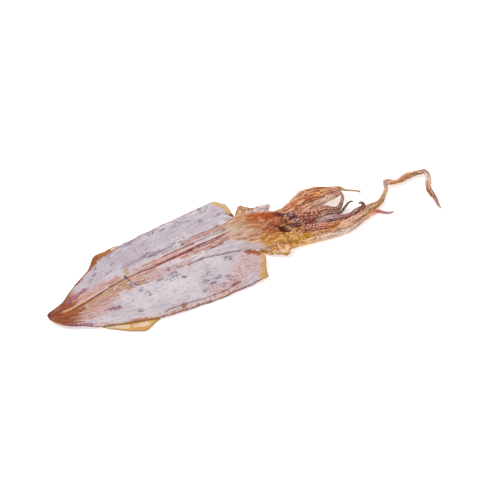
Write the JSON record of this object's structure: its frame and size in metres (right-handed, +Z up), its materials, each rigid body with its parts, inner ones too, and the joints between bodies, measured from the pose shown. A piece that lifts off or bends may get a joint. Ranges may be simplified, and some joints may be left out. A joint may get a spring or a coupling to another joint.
{
  "type": "dried squid",
  "caption": "Whole dried squid slit open and spread flat, with fins under the tail, a crown of thin arms and one long bent tentacle.",
  "frame": {"origin": "middle of the underside of the squid's box, on the table it lies on", "axes": "+X from the tail tip towards the head and arms, +Y across the body, away from the side that the long tentacle bends to, +Z up from the table, with the inner face of the mantle up"},
  "size_m": [0.3984, 0.1168, 0.0143],
  "materials": {
    "dried_flesh": "dry, hard flesh under a pale powdery bloom, amber at the thin rims"
  },
  "bodies": {
    "root": {"dried_squid": "dried_flesh"}
  },
  "joints": []
}
